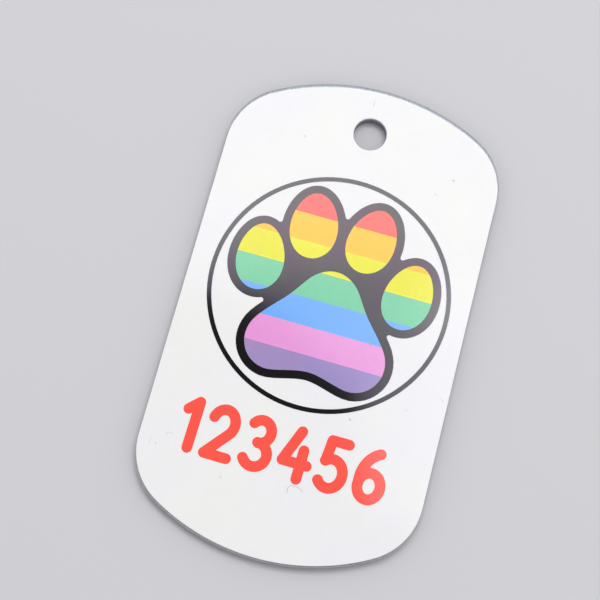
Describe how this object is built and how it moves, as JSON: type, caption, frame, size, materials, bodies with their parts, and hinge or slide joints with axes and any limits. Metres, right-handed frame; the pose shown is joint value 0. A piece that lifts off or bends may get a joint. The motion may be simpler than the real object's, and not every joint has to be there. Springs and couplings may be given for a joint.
{
  "type": "pet id tag",
  "caption": "Flat aluminium pet id tag with long end arcs, a hanging hole, a white gloss coat and a striped paw print in a ring.",
  "frame": {"origin": "middle of the tag's back face, which it rests on", "axes": "+Z out of the printed face, +Y along the tag towards the hanging hole, +X to the right of the upright print"},
  "size_m": [0.0286, 0.05, 0.0011],
  "materials": {
    "blank": "stamped aluminium sheet, edges tumbled, back brushed",
    "front_coat": "white gloss polyester coat",
    "black_ink": "black print under gloss",
    "red_ink": "red print under gloss",
    "orange_ink": "orange print under gloss",
    "yellow_ink": "yellow print under gloss",
    "green_ink": "green print under gloss",
    "blue_ink": "blue print under gloss",
    "pink_ink": "pink print under gloss",
    "violet_ink": "violet print under gloss"
  },
  "bodies": {
    "root": {"blank": "blank", "front_coat": "front_coat", "ring_print": "black_ink", "outline_print": "black_ink", "red_print": "red_ink", "orange_print": "orange_ink", "yellow_print": "yellow_ink", "green_print": "green_ink", "blue_print": "blue_ink", "pink_print": "pink_ink", "violet_print": "violet_ink"}
  },
  "joints": []
}
